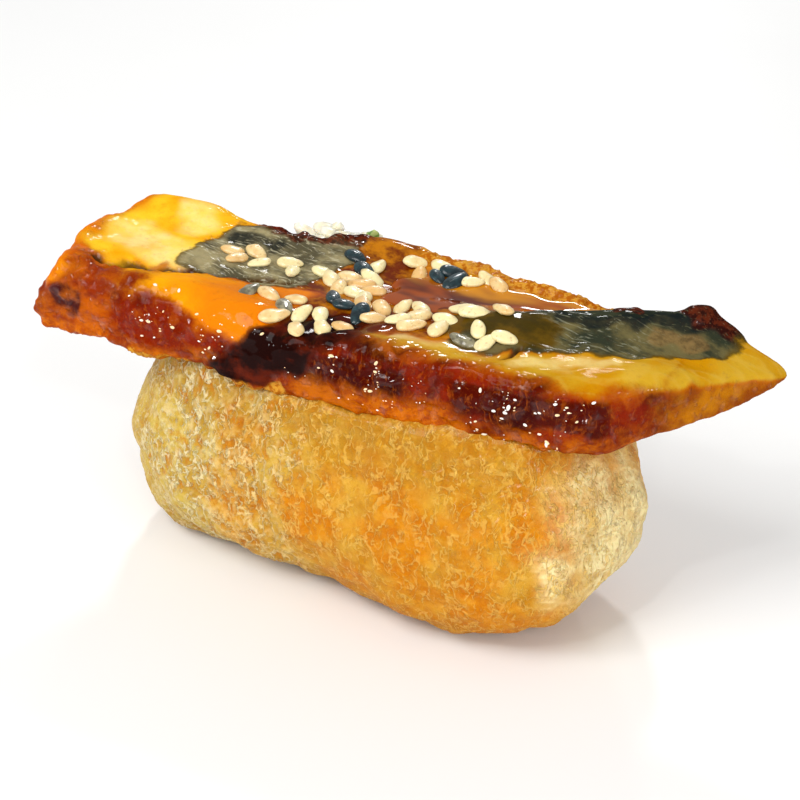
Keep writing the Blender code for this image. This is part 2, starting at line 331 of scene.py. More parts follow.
# %% The pouch's finish
material, start, place, feed = new_finish(
    "fried_tofu", Subsurface_Weight=0.1, Subsurface_Radius=(1.0, 0.5, 0.15), Subsurface_Scale=0.001,
    Coat_Weight=0.2, Coat_Roughness=0.15, Specular_IOR_Level=0.0)
along_x = place.node("ShaderNodeSeparateXYZ", None, {0: place}, "X")
height = place.node("ShaderNodeSeparateXYZ", None, {0: place}, "Z")
cloud = place.grain(8.0, 3.0)
blotch = place.grain(2.6, 4.0, 0.6)
fleck = place.grain(0.8, 4.0, 0.65, (0.8, 0.8, 1.3))
middle = (along_x + (cloud - 0.5) * 30).between(-15, 1) * (1 - (along_x + (cloud - 0.5) * 10).between(29, 34))
gold = blotch.between(0.35, 0.65).paint(tone("D09A30"), tone("C28416"))
orange = blotch.between(0.35, 0.6).paint(tone("D48406"), tone("C67000"))
straw = blotch.between(0.35, 0.65).paint(tone("CAAC48"), tone("B68C2C"))
body = middle.paint(straw, (cloud.between(0.4, 0.6)).paint(gold, orange))
# Painted shadow: the top of the pouch under the eel is darkened where the eel shades it.
painted_eel_shadow = along_x.between(-30, -18) * (1 - along_x.between(22, 29)) * (height + (cloud - 0.5) * 7).between(17, 25)
body = (painted_eel_shadow * 0.6).paint(body, tone("A0741E"))
# Painted shade: the pouch darkens towards the floor.
body = ((1 - (height + (blotch - 0.5) * 4).between(0.5, 6.5)) * 0.7).paint(body, tone("905A08"))
body = (start.mask("craters") * fleck.between(0.3, 0.6) * 0.7).paint(body, tone("C06C04"))
felt = place.shifted(1.6, 0.9).grain(0.9, 5.0, 0.7)
body = (felt.between(0.50, 0.70) * 0.5).paint(body, middle.paint(tone("D4B45C"), tone("DCA22C")))
body = ((1 - felt).between(0.50, 0.72) * 0.45).paint(body, tone("B86C04"))
pale = (start.mask("fibres") + (fleck - 0.5) * 0.7).between(0.1, 0.95)
thread_tone = middle.paint(tone("F0E2B2"), tone("ECBE5C"))
body = (pale * 0.35).paint(body, thread_tone)
# Painted light: the upper left of the pouch is made paler, where light from the left falls on it.
painted_left_light = (1 - (along_x + (cloud - 0.5) * 8).between(-33, -25)) * height.between(6, 18)
body = (painted_left_light * 0.5).paint(body, tone("E6D6A4"))
body = (start.mask("end_net") * (pale * 0.6 + 0.4)).paint(body, tone("F6E2A4"))
wave = place.shifted(1.8, 1.2).grain(1.6, 2.0, 0.5, (0.8, 0.8, 1.8))
hair = wave.between(0.44, 0.48) * (1 - wave.between(0.50, 0.55))
crumb = place.shifted(1.0, 0.6).grain(0.7, 4.0, 0.7, (0.8, 0.8, 1.5)).between(0.54, 0.66)
spongy = (start.mask("pocked") + start.mask("end_net")) * 0.45 + 0.5
net = (hair * 0.8 + crumb * 0.9) * spongy * blotch.between(0.32, 0.52)
body = (net * 0.9).paint(body, thread_tone)
feed(Base_Color=body, Roughness=0.36 + fleck * 0.2,
     Normal=with_bump(place.grain(0.3, 4.0, 0.6) * 0.7 + felt * 0.9 + net * 0.8, 0.22))
tofu_skin.data.materials.clear()
tofu_skin.data.materials.append(material)

# %% [markdown]
# The grilled eel. One slice shows many surfaces: a blistered brown crust along the front, pale flesh
# where it is cut or thin, amber flesh under glaze, grey skin, and a golden crumbly rim at the back. The
# slice bends and narrows, so zones are given by their place across it: 0 on its front edge, 1 on its back
# edge. The two edges are measured on the solid. Each zone is then stored as a mask that both the relief
# and the material read.

# %% The eel's shape, and places on it
EEL_VOXEL = 0.29

eel_mesh = fine_copy("eel_slice", EEL_VOXEL, 14)
points, normals = places(eel_mesh), directions(eel_mesh)
columns = np.arange(math.ceil(points[:, 0].min()), math.floor(points[:, 0].max()) + 1)
nearby = [points[np.abs(points[:, 0] - x) < 0.6, 1] for x in columns]
front_line = np.array([y.min() for y in nearby])
back_line = np.array([y.max() for y in nearby])


def across(x, y):
    """0 on the slice's front edge, 1 on its back edge."""
    front, back = np.interp(x, columns, front_line), np.interp(x, columns, back_line)
    return (y - front) / (back - front)


def on_eel(x, share):
    """The plan place in millimetres of a point given by its x and its share across."""
    return x, float(np.interp(x, columns, front_line) * (1 - share) + np.interp(x, columns, back_line) * share)


def eel_path(*path):
    return [on_eel(*point) for point in path]


def band(x, share, left, right, low, high, end=1.2, soft=0.035):
    """1 between two x and two shares across; a share is one number, or a pair for the two ends."""
    length = np.clip((x - left) / (right - left), 0, 1)
    low = np.interp(length, [0, 1], np.broadcast_to(low, 2))
    high = np.interp(length, [0, 1], np.broadcast_to(high, 2))
    return (step_up(x, left - end, left + end) * (1 - step_up(x, right - end, right + end))
            * step_up(share, low - soft, low + soft) * (1 - step_up(share, high - soft, high + soft)))


# %% The eel's zones
ragged = wobbled(points, 2.2, 0.7)
x, share, z = ragged[:, 0], across(ragged[:, 0], ragged[:, 1]), ragged[:, 2]
plan = ragged[:, :2]
upper = step_up(normals[:, 2], 0.05, 0.45)
front_wall = (1 - upper) * step_up(-normals[:, 1], 0.1, 0.5)

pale = step_up(normals[:, 2], -0.05, 0.5) * np.maximum.reduce([
    band(x, share, -35.5, -23, (0.26, 0.20), 0.99, 1.8, 0.06),
    band(x, share, 3, 22, (0.10, 0.08), (0.15, 0.24), 1.2, 0.07),
    band(x, share, 20, 36, (0.08, 0.04), (0.24, 0.56), 1.2, 0.09),
    band(x, share, 35, 50, 0.03, 0.98, 2.0, 0.09)])
lobe = upper * band(x, share, -35.5, -22, (0.26, 0.20), 0.99, 1.8, 0.06)
cream = upper * np.maximum.reduce([
    0.8 * stroke(plan, eel_path((-32, 0.5), (-28, 0.46), (-24, 0.42)), 2.8),
    0.7 * stroke(plan, eel_path((-30, 0.9), (-27, 0.75)), 2.2),
    0.6 * stroke(plan, eel_path((8, 0.16), (14, 0.18)), 0.8),
    0.6 * stroke(plan, eel_path((22, 0.17), (31, 0.3)), 1.0)])
over_shoulder = step_up(z + 0.8 * bumps(points, 2.5, shift=35.0) - np.interp(x, [-22, -9], [35.0, 31.4]), -2.2, 1.6)
amber = band(x, share, -27, -5, -0.4, (0.30, 0.40), 1.5, 0.05) * over_shoulder
skin_left = upper * band(x, share, -23.5, -8, 0.38, 0.9, 1.2, 0.06)
skin_right = upper * band(x, share, 14, 38, (0.18, 0.5), (0.68, 1.0), 1.5, 0.06)
skin = np.maximum(skin_left, skin_right)
centre = upper * band(x, share, -8, 20, 0.10, 1.02, 2.0, 0.06)
run_left = -1 - 24 * (0.25 - np.clip(share, 0, 0.25)) - 1.1 * np.clip(33.5 - z, 0, 7) + bumps(points, 3.0, shift=32.0)
run_right = 4.5 - 1.6 * np.clip(33.5 - z, 0, 7) + 1.6 * bumps(points, 3.0, shift=33.0)
glaze = (step_up(x - run_left, -1.8, 1.8) * (1 - step_up(x - run_right, -2.2, 2.2)) * (1 - step_up(share, 0.20, 0.32))
         * step_up(normals[:, 2], -0.7, -0.3))
golden = step_up(normals[:, 2], -0.2, 0.2) * stroke(plan, eel_path((0, 0.97), (12, 0.96), (25, 1.0)), 1.8)
golden = np.maximum(golden, front_wall * band(x, z, -23, -3, 24, 27.2, 1.5, 0.4))
rind_foot = 28.2 + 0.45 * (x + 39) + 3.0 * (1 - step_up(share, 0.0, 0.25))
rind = band(x, share, -45, -33, -0.5, 1.3, 2.5, 0.05) * step_up(z - rind_foot, -0.9, 0.9)
rind = np.maximum(rind, 0.9 * stroke(plan, eel_path((-37, 0.8), (-34, 0.97), (-30, 1.0)), 0.7))
# The dark line along the right skin ridge is painted crest shadow; the stroke on the left skin is the skin's own dark
# slate.
slate_and_crest_shade = upper * np.maximum(stroke(plan, eel_path((22, 0.52), (29, 0.66), (37, 0.84)), 0.8),
                           stroke(plan, eel_path((-22, 0.75), (-17, 0.8)), 1.1))
dusk = upper * band(x, share, 21, 38, (0.52, 0.86), 1.2, 1.5, 0.03)
rosy = upper * stroke(plan, eel_path((32, 0.6), (35, 0.66)), 1.0)
scratched = upper * stroke(plan, eel_path((20, 0.42), (29, 0.54)), 2.2)
olive = upper * stroke(plan, eel_path((13, 0.36), (21, 0.4)), 2.2)
char = upper * np.maximum.reduce([stroke(plan, eel_path((-17, 0.92), (-9, 0.92)), 1.3),
                                  stroke(plan, eel_path((26, 0.72), (28, 0.75)), 0.8),
                                  stroke(plan, eel_path((33, 0.86), (36, 0.9)), 1.9)])
bruise = stroke(plan, eel_path((-33, 0.0), (-31.4, 0.02)), 1.2) * step_up(z, 29, 30.5) * (1 - step_up(z, 32, 34))
# The furrow between the pale lobe and the amber is a groove in the relief, and it is painted dark as shade in the
# groove.
shaded_furrow = upper * np.maximum(stroke(plan, eel_path((-31, 0.2), (-22, 0.3), (-14, 0.44), (-9, 0.46)), 0.45),
                            stroke(plan, eel_path((20, 0.18), (21, 0.3)), 0.28))
crust = 1 - np.maximum.reduce([pale, amber, skin, centre])
toe = band(x, z, -45, -25, 20, 40, 3.0, 0.8)
tip = band(x, z, 36, 50, 20, 40, 3.5, 0.8)
glow = front_wall * np.maximum(band(x, z, 4, 18, 24, 29.8, 3.0, 1.4), band(x, z, -42, -26, 20, 28.4, 2.0, 0.8))
deep = front_wall * np.maximum(stroke(points, [(2, -13.6, 31.5), (10, -13.0, 31.5)], 2.0),
                               stroke(plan, eel_path((19, 0.0), (31, 0.0)), 2.4) * step_up(z, 28.5, 30.0))

# %% The eel's relief
blisters = step_up(bumps(points, 1.5, shift=2.0), -0.6, 0.9)
fine = bumps(points, 0.8, shift=4.0)
layers = bumps(points, 1.3, (5, 1, 0.5), 6.0)
swell = bumps(points, 4.5, (1.4, 1, 1), 8.0)
slump = bumps(points, 8.0, (1.2, 1, 1.5), 30.0)
flakes = ridges(wobbled(points, 3.0, 0.6) @ np.array([[0.95, -0.3, 0], [0.3, 0.95, 0], [0, 0, 1]]), 1.5,
                (4, 1, 1), 2.0)
wrinkle = bumps(points, 0.9, (3, 1, 1), 7.0)
crumbs = ridges(points, 1.3, shift=11.0)
smooth_end = 1 - 0.75 * step_up(x, 24, 34) - 0.5 * rind
relief = (crust * (smooth_end * (0.34 * blisters + 0.14 * fine + 0.12 * layers) + 0.40 * swell)
          + pale * (0.05 * flakes + 0.20 * swell) + amber * (0.07 * flakes + 0.16 * swell)
          + skin * (0.10 * wrinkle + 0.14 * swell) + centre * 0.14 * swell
          + golden * (0.30 * crumbs + 0.30 * layers) + char * 0.3 * blisters)
relief = relief + 0.45 * slump * (1 - step_up(share, 0.3, 0.5)) * step_up(normals[:, 2], -0.6, -0.2)
run_waves = bumps(points, 2.4, (1, 1, 2.5), 15.0)
relief = relief * (1 - 0.7 * glaze) + (0.40 + 0.45 * run_waves) * glaze - 0.6 * shaded_furrow
hem = (1 - step_up(points[:, 2], 26.4, 28.8)) * step_up(-points[:, 1], 4, 9)
teeth = bumps(points, 2.6, (1, 3, 3), 13.0) + 0.5 * bumps(points, 1.1, (1, 3, 3), 14.0)
points = points + normals * relief[:, None]
points[:, 2] += hem * ((0.16 + 0.2 * toe) * teeth * (1 - 0.85 * step_up(x, 20, 32)) - 0.55 * (step_up(x, -12, -2) - step_up(x, 14, 26)))
move_points(eel_mesh, points)
for name, values in (("pale", pale), ("amber", amber), ("skin", skin), ("centre", centre),
                     ("glaze", glaze), ("golden", golden), ("slate_and_crest_shade", slate_and_crest_shade), ("cream", cream),
                     ("toe", toe), ("tip", tip), ("rosy", rosy), ("rind", rind), ("dusk", dusk),
                     ("scratched", scratched), ("crust", crust), ("deep", deep), ("glow", glow),
                     ("lobe", lobe), ("bruise", bruise),
                     ("skin_left", skin_left), ("skin_right", skin_right),
                     ("olive", olive), ("char", char), ("shaded_furrow", shaded_furrow), ("blisters", blisters),
                     ("flakes", flakes)):
    keep_mask(eel_mesh, name, values)
grilled_eel = finished("grilled_eel", eel_mesh, "eel", "eel_slice")

# %% The eel's finish
material, start, place, feed = new_finish(
    "glazed_eel", Subsurface_Weight=0.05, Subsurface_Radius=(1.0, 0.35, 0.1), Subsurface_Scale=0.001,
    Specular_IOR_Level=0.0, Coat_Roughness=0.06, Coat_IOR=1.5)
speck = place.grain(0.7, 4.0, 0.65)
tiny = place.grain(0.3, 3.0, 0.6)
cloud = place.grain(3.0, 4.0, 0.6, (1.5, 1, 1))
drift = place.grain(7.0, 2.0)
scratch = place.shifted(4.0, 1.0).grain(0.3, 3.0, 0.6, (9, 1.2, 1))
bead = place.grain(0.9, 1.0, 0.4).between(0.56, 0.72)
along_x = place.node("ShaderNodeSeparateXYZ", None, {0: place}, "X")
height = place.node("ShaderNodeSeparateXYZ", None, {0: place}, "Z")
ragged = (speck - 0.5) * 0.45
fibre = start.mask("flakes") * 0.6 + speck * 0.6


def zone(name, low=0.3, high=0.7):
    """A zone with its edge broken up by the fine noise."""
    return (start.mask(name) + ragged).between(low, high)


def two_tones(noise, first, second, low=0.4, high=0.6):
    return (noise + ragged * 0.3).between(low, high).paint(tone(first), tone(second))


low_down = 1 - (height + (cloud - 0.5) * 5).between(26.8, 30.2)
strand = place.shifted(3.0, 1.5).grain(0.5, 3.0, 0.6, (1, 1, 4))
colour = two_tones(drift, "7C1A00", "420500")
colour = ((drift + ragged * 0.25).between(0.54, 0.66) * 0.6).paint(colour, tone("2C0502"))
colour = (start.mask("blisters").between(0.5, 1.0) * cloud.between(0.4, 0.6) * 0.5).paint(colour, tone("A84A08"))
colour = (low_down * 0.9).paint(colour, two_tones(cloud, "C26404", "8C3402"))
flesh = (fibre.between(0.4, 1.0) * 0.3).paint(two_tones(drift, "BE8406", "C49824"), tone("D0AC4C"))
coats = [  # zone, where its edge starts and ends, how much it covers, and its tones
    ("deep", 0.1, 0.9, 0.8, tone("340200")),
    ("crust", 0.5, 1.0, strand.between(0.52, 0.70) * 0.35, tone("B4540C")),
    ("toe", 0.2, 0.9, 0.75, two_tones(cloud, "C86208", "902E04", 0.35, 0.65)),
    ("glow", 0.2, 1.2, cloud.between(0.35, 0.55) * 0.6 + 0.2, two_tones(speck, "D87404", "A84402", 0.35, 0.65)),
    ("tip", 0.2, 0.9, 0.9, two_tones(cloud, "BC7404", "8E4202", 0.35, 0.65)),
    ("centre", 0.3, 0.7, 0.95, two_tones(cloud, "B87008", "642404")),
    ("rind", 0.0, 0.9, 0.95, two_tones(cloud, "F09408", "D06404", 0.35, 0.65)),
    ("bruise", 0.1, 0.9, cloud.between(0.32, 0.52) * 0.6 + 0.3, tone("2C0612")),
    ("pale", 0.0, 0.5, 0.6, tone("B85E04")),
    ("pale", 0.3, 1.0, 1.0, flesh),
    ("lobe", 0.1, 1.0, 1.0, two_tones(drift, "F6C228", "EC9C08", 0.35, 0.62)),
    ("cream", 0.0, 1.2, cloud.between(0.35, 0.6) * 0.5 + 0.4, tone("F4E298")),
    ("amber", 0.0, 0.5, 0.85, tone("943602")),
    ("amber", 0.25, 0.9, 1.0, (along_x + (cloud - 0.5) * 12).between(-23, -11).paint(tone("F0A002"), tone("DC7802"))),
    ("skin", 0.15, 0.45, 0.9, tone("443408")),
    ("skin_left", 0.3, 0.8, 1.0, two_tones(cloud, "988C66", "524C38", 0.35, 0.65)),
    ("skin_right", 0.3, 0.8, 1.0, two_tones(cloud, "685E3A", "2E3224", 0.35, 0.65)),
    ("olive", 0.2, 0.9, 0.95, two_tones(cloud, "584006", "3E3006")),
    ("dusk", 0.3, 0.8, 0.95, two_tones(cloud, "2C3224", "1A2018")),
    ("rosy", 0.1, 1.0, 0.7, two_tones(speck, "86693E", "66502E", 0.3, 0.7)),
    # dark slate on the left skin, painted crest shadow along the right ridge
    ("slate_and_crest_shade", 0.0, 1.2, 0.85, tone("10181A")),
    ("golden", 0.3, 0.7, 0.95, two_tones(speck, "A85A0A", "D09430")),
    ("char", 0.3, 0.8, 0.85, two_tones(speck, "5A200C", "2C0A06")),
    # painted shade in the furrow
    ("shaded_furrow", 0.0, 0.9, 0.9, tone("4A2C06")),
    ("glaze", 0.0, 0.45, 0.85, tone("4A1204")),
    ("glaze", 0.35, 0.9, 1.0, two_tones(cloud, "1A0402", "5C1A06", 0.46, 0.74))]
for name, low, high, cover, tones in coats:
    colour = (zone(name, low, high) * cover).paint(colour, tones)
colour = (start.mask("skin_left") * scratch.between(0.53, 0.68) * 0.6).paint(colour, tone("C0B898"))
bare = 1 - start.mask("olive")
colour = (start.mask("skin_right") * bare * scratch.between(0.58, 0.70) * 0.25).paint(colour, tone("84805E"))
colour = (start.mask("scratched") * bare * scratch.between(0.54, 0.66) * 0.4).paint(colour, tone("9C9C84"))
dry = start.mask("golden")
blistered = start.mask("crust") * (1 - start.mask("glaze"))
bead = bead * blistered
puddle = place.shifted(2.2, 0.8).grain(1.8, 1.0, 0.4).between(0.56, 0.66) * blistered
lumps = (tiny * 0.5 + speck * 0.8) * (blistered * 0.7 + 0.3) * (1 - start.mask("glaze")) * (1 - puddle * 0.8)
lumps = lumps + bead * 0.7
wet = start.mask("centre") * 0.2 + start.mask("amber") * 0.1 + bead * 0.4 + puddle * 0.35 + 0.12
wet = wet - start.mask("pale") * 0.07
feed(Base_Color=colour, Roughness=0.3 + tiny * 0.15 + dry * 0.15, Coat_Weight=wet * (1 - dry * 0.6),
     Normal=with_bump(lumps, 0.22))
grilled_eel.data.materials.clear()
grilled_eel.data.materials.append(material)

# %% [markdown]
# The glaze pool. Sauce has gathered in the hollow behind the skin ridge. A liquid lies level and creeps up
# a little where it meets the flesh, so this is a level sheet whose rim rises, cut off just inside the eel.

# %% The pool
eel_tree = BVHTree.FromObject(grilled_eel, bpy.context.evaluated_depsgraph_get())


def eel_top(x, y):
    """Height of the eel's top under a place in millimetres, or None beside it."""
    hit = eel_tree.ray_cast(Vector((x * MM, y * MM, 0.06)), Vector((0, 0, -1)))[0]
    return hit.z / MM if hit else None


POOL_LEVEL = 33.75
POOL_FILM = 0.12  # thickness of the sauce on flesh at the pool's level
POOL_CREEP = 0.5  # how far above its level the film ends
POOL_BEND = 0.3
POOL_SHARE = (0.36, 0.93)
POOL_START = -1.0  # x of its left end
bm = bmesh.new()
bmesh.ops.create_grid(bm, x_segments=110, y_segments=60, size=0.5)
bmesh.ops.scale(bm, verts=bm.verts, vec=(30.0, 15.0, 1.0))
bmesh.ops.translate(bm, verts=bm.verts, vec=(10.5, 6.0, 0.0))
dry = []
for vert in bm.verts:
    top = eel_top(vert.co.x, vert.co.y)
    wave = noise.noise(vert.co / 3.5)
    share = across(vert.co.x, vert.co.y) + 0.05 * wave
    inside = min((share - POOL_SHARE[0]) / 0.1, (POOL_SHARE[1] - share) / 0.05,
                 (vert.co.x - POOL_START + 4.0 * wave) / 2.5, 1.0)
    if top is None or inside < 0.0 or top > POOL_LEVEL + 1.6 * POOL_CREEP:
        dry.append(vert)
        continue
    film = top + POOL_FILM * (1.0 - max(0.0, top - POOL_LEVEL) / POOL_CREEP)
    vert.co.z = (POOL_LEVEL + film + math.hypot(film - POOL_LEVEL, POOL_BEND)) / 2 - 1.2 * (1.0 - inside) ** 2 + 0.1 * wave
bmesh.ops.delete(bm, geom=dry, context="VERTS")
for _ in range(5):
    bmesh.ops.smooth_vert(bm, verts=bm.verts, factor=0.5, use_axis_z=True)
below = bmesh.ops.extrude_face_region(bm, geom=bm.faces[:])["geom"]
bmesh.ops.translate(bm, verts=[g for g in below if isinstance(g, bmesh.types.BMVert)], vec=(0, 0, -0.5))
bmesh.ops.recalc_face_normals(bm, faces=bm.faces)
bmesh.ops.scale(bm, verts=bm.verts, vec=(MM, MM, MM))
pool_mesh = bpy.data.meshes.new("glaze_pool")
bm.to_mesh(pool_mesh)
bm.free()
points = places(pool_mesh)
keep_mask(pool_mesh, "towards_back", across(points[:, 0], points[:, 1]))
glaze_pool = finished("glaze_pool", pool_mesh, "eel")

# %% The pool's finish
material, start, place, feed = new_finish("sauce", Roughness=0.2, Specular_IOR_Level=0.0, Coat_Weight=0.6, Coat_Roughness=0.02)
swirl = place.grain(4.5, 2.0, 0.5, (1.8, 1, 1))
amber_edge = (start.mask("towards_back") + (swirl - 0.5) * 0.5).between(0.70, 0.86)
sauce = amber_edge.paint(swirl.between(0.42, 0.6).paint(tone("964204"), tone("541A02")), tone("C88008"))
feed(Base_Color=sauce, Normal=with_bump(place.grain(3.5, 1.0), 0.3))
glaze_pool.data.materials.append(material)

# %% [markdown]
# The rice. Under the eel the pouch is full of cooked rice. The grains show at the back, between the eel and
# the rim. A core a little smaller than the solid fills the middle, and seeded grains lie on its surface.

# %% The rice core
core_mesh = fine_copy("rice_filling", 0.8, 4)
points, normals = places(core_mesh), directions(core_mesh)
move_points(core_mesh, points + normals * (0.35 * bumps(points, 1.8) - 0.8)[:, None])
rice_core = finished("rice_core", core_mesh, "rice")

# %% The rice grains
RICE_COUNT = 520
dice = random.Random(7)


def grain_shape(length, width, thick, sides, rings, taper):
    """An egg laid along X, pointed towards +X by taper."""
    bm = bmesh.new()
    bmesh.ops.create_uvsphere(bm, u_segments=sides, v_segments=rings, radius=0.5)
    bmesh.ops.rotate(bm, verts=bm.verts, cent=(0, 0, 0), matrix=Matrix.Rotation(math.pi / 2, 3, "Y"))
    for vert in bm.verts:
        narrow = 1.0 - taper * (vert.co.x + 0.5)
        vert.co = Vector((vert.co.x * length, vert.co.y * width * narrow, vert.co.z * thick * narrow))
    bmesh.ops.recalc_face_normals(bm, faces=bm.faces)
    bmesh.ops.scale(bm, verts=bm.verts, vec=(MM, MM, MM))
    mesh = bpy.data.meshes.new("one_grain")
    bm.to_mesh(mesh)
    bm.free()
    return mesh


def laid(place, up, heading, tilt=0.0, size=1.0):
    """A grain's place and turn: its flat side on the surface, its length along heading degrees."""
    up = up.normalized()
    ahead = Vector((math.cos(math.radians(heading)), math.sin(math.radians(heading)), 0.0))
    side = up.cross(ahead).normalized()
    turn = Matrix((side.cross(up), side, up)).transposed()
    turn = turn @ Matrix.Rotation(math.radians(-tilt), 3, "Y")
    return Matrix.Translation(place) @ turn.to_4x4() @ Matrix.Scale(size, 4)


def scattered(name, shape, spots, slot):
    """One piece made of many copies of a shape."""
    bm = bmesh.new()
    for spot in spots:
        copy = shape.copy()
        copy.transform(spot)
        bm.from_mesh(copy)
        bpy.data.meshes.remove(copy)
    mesh = bpy.data.meshes.new(name)
    bm.to_mesh(mesh)
    bm.free()
    keep_mask(mesh, "own", np.repeat([dice.random() for _ in spots], len(shape.vertices)))
    keep_mask(mesh, "tip", np.tile(step_up(places(shape)[:, 0], 1.1, 1.7), len(spots)))
    return finished(name, mesh, slot)


points, normals = places(core_mesh), directions(core_mesh)
open_spots = np.nonzero(points[:, 2] > 24.5)[0]
spots, taken = [], []
while len(spots) < RICE_COUNT and len(taken) < 20 * RICE_COUNT:
    k = int(open_spots[dice.randrange(len(open_spots))])
    taken.append(k)
    here = Vector(points[k] * MM)
    if all((here - s.translation).length > 1.5 * MM for s in spots):
        up = Vector(normals[k]) + 0.25 * Vector([dice.uniform(-1, 1) for _ in range(3)])
        spots.append(laid(here + Vector(normals[k]) * 0.5 * MM, up, dice.uniform(0, 360),
                          dice.uniform(-16, 16), dice.uniform(0.88, 1.1)))
HEAP_X, HEAP_TOP, HEAP_BACK, HEAP_COUNT = (-18.0, -8.0), 34.4, 12.6, 34
for _ in range(HEAP_COUNT):
    x = dice.uniform(*HEAP_X)
    behind = on_eel(x, 1.0)[1] + 0.9
    crest = HEAP_TOP - 0.04 * (x + 13.0) ** 2
    place = Vector((x, dice.uniform(behind, max(behind, HEAP_BACK)), dice.uniform(31.0, crest))) * MM
    spots.append(laid(place, Vector([dice.uniform(-0.6, 0.6), dice.uniform(-0.6, 0.6), 1.0]),
                      dice.uniform(-50, 50), dice.uniform(-12, 12), dice.uniform(0.85, 1.0)))
rice_grains = scattered("rice_grains", grain_shape(5.4, 2.5, 2.2, 8, 7, 0.12), spots, "rice")
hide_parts("rice_filling")
rice_tree = BVHTree.FromObject(rice_grains, bpy.context.evaluated_depsgraph_get())
print(len(spots), "rice grains")

# %% The rice's finish
material, start, place, feed = new_finish(
    "cooked_rice", Roughness=0.32, Subsurface_Weight=0.5, Subsurface_Radius=(1.0, 0.8, 0.6),
    Subsurface_Scale=0.0012, Coat_Weight=0.3, Coat_Roughness=0.12)
feed(Base_Color=place.grain(2.2, 2.0).between(0.35, 0.65).paint(tone("F6EFDC"), tone("E6DAB8")),
     Normal=with_bump(place.grain(0.6, 2.0), 0.05))
for piece in (rice_core, rice_grains):
    piece.data.materials.clear()
    piece.data.materials.append(material)

# %% [markdown]
# The sesame. Toasted white seeds and a few black ones were sprinkled by hand, so they lie in a loose drift
# along the middle of the slice, thick in its heart and thin at its ends. Each drift below is a path on the
# eel with a width and a count. Seeds are dropped at random places on it, and one that would land on
# another is dropped again.

# %% The sesame drifts
# Each drift is its path of (x, share across), half width in millimetres, and number of seeds.
WHITE_DRIFTS = [
    (((-20, 0.6), (-13, 0.62), (-7, 0.5)), 2.0, 8),
    (((-8, 0.2), (-3, 0.12), (1, 0.2)), 2.6, 8),
    (((-4, 0.7), (-2, 0.4)), 2.2, 8),
    (((-1, 0.84), (9, 0.88)), 1.2, 6),
    (((1, 0.3), (8, 0.34), (16, 0.34)), 3.2, 16)]
BLACK_DRIFTS = [(((-7, 0.8), (-6, 0.7)), 1.6, 2), (((-2, 0.34), (2, 0.26)), 1.4, 3),
                (((2, 0.86), (6, 0.8)), 1.4, 3)]
SOAKED_DRIFTS = [(((-13, 0.26), (-6, 0.14)), 1.0, 2), (((13, 0.24), (15, 0.24)), 0.6, 1)]
SEED_LENGTH = (2.8, 3.6)
SEED_GAP = 1.9  # middle to middle, so that neighbours touch or just overlap
SEED_WIDTH, SEED_THICK = 2.25, 1.15
SEED_LEAN = 14.0

grown = bpy.context.evaluated_depsgraph_get()
eel_tree = BVHTree.FromObject(grilled_eel, grown)
pool_tree = BVHTree.FromObject(glaze_pool, grown)


def spot_on(path, half_width):
    """A random place within half_width of a path on the eel."""
    leg = dice.randrange(len(path) - 1)
    t = dice.random()
    (x0, share0), (x1, share1) = path[leg], path[leg + 1]
    x, y = on_eel(x0 + (x1 - x0) * t, share0 + (share1 - share0) * t)
    turn, reach = dice.uniform(0, math.tau), half_width * math.sqrt(dice.random())
    return x + reach * math.cos(turn), y + reach * math.sin(turn)


seeds_down = []


def sprinkled(drifts, lift=0.3):
    """Seeds resting on the eel or the pool, each turned at random and leaning forward a little."""
    spots = []
    for path, half_width, count in drifts:
        dropped = 0
        for _ in range(60 * count):
            x, y = spot_on(path, half_width)
            if dropped == count or any(math.dist((x, y), seed) < SEED_GAP for seed in seeds_down):
                continue
            above = Vector((x * MM, y * MM, 0.06))
            hits = [tree.ray_cast(above, Vector((0, 0, -1))) for tree in (eel_tree, pool_tree)]
            if hits[0][0] is None:
                continue
            here = max((hit[0] for hit in hits if hit[0]), key=lambda place: place.z)
            up = Vector((0, 0, 1)) + 0.5 * hits[0][1] + Vector((0.12, -0.2, 0)) * SEED_LEAN / 10
            up += 0.12 * Vector([dice.uniform(-1, 1) for _ in range(3)])
            spots.append(laid(here + Vector((0, 0, lift * MM)), up, dice.uniform(0, 360),
                              dice.uniform(-8, 8), dice.uniform(*SEED_LENGTH) / 3.4))
            seeds_down.append((x, y))
            dropped += 1
    print(len(spots), "seeds of", sum(drift[2] for drift in drifts))
    return spots


seed_shape = grain_shape(3.4, SEED_WIDTH, SEED_THICK, 20, 14, 0.3)
black_sesame = scattered("black_sesame", seed_shape, sprinkled(BLACK_DRIFTS), "eel")
soaked_sesame = scattered("soaked_sesame", seed_shape, sprinkled(SOAKED_DRIFTS, 0.15), "eel")
white_sesame = scattered("white_sesame", seed_shape, sprinkled(WHITE_DRIFTS), "eel")
for piece, amount in ((white_sesame, 0.07), (black_sesame, 0.03), (soaked_sesame, 0.08)):
    points, normals = places(piece.data), directions(piece.data)
    move_points(piece.data, points + normals * (amount * bumps(points, 0.8))[:, None])

# %% The sesame's finish
material, start, place, feed = new_finish(
    "toasted_sesame", Roughness=0.38, Subsurface_Weight=0.2, Subsurface_Radius=(1.0, 0.7, 0.4),
    Subsurface_Scale=0.0006, Coat_Weight=0.35, Coat_Roughness=0.15)
toast = start.mask("own") + (place.grain(1.2, 2.0) - 0.5) * 0.7
colour = toast.between(0.3, 1.0).paint(tone("ECDDA6"), tone("DDB06A"))
colour = (place.grain(0.45, 2.0).between(0.58, 0.75) * 0.45).paint(colour, tone("A87434"))
colour = (start.mask("tip") * (place.grain(3.0) - 0.2).between(0.25, 0.4) * 0.7).paint(colour, tone("7A4A18"))
feed(Base_Color=colour, Normal=with_bump(place.grain(0.35, 3.0), 0.06))
white_sesame.data.materials.append(material)

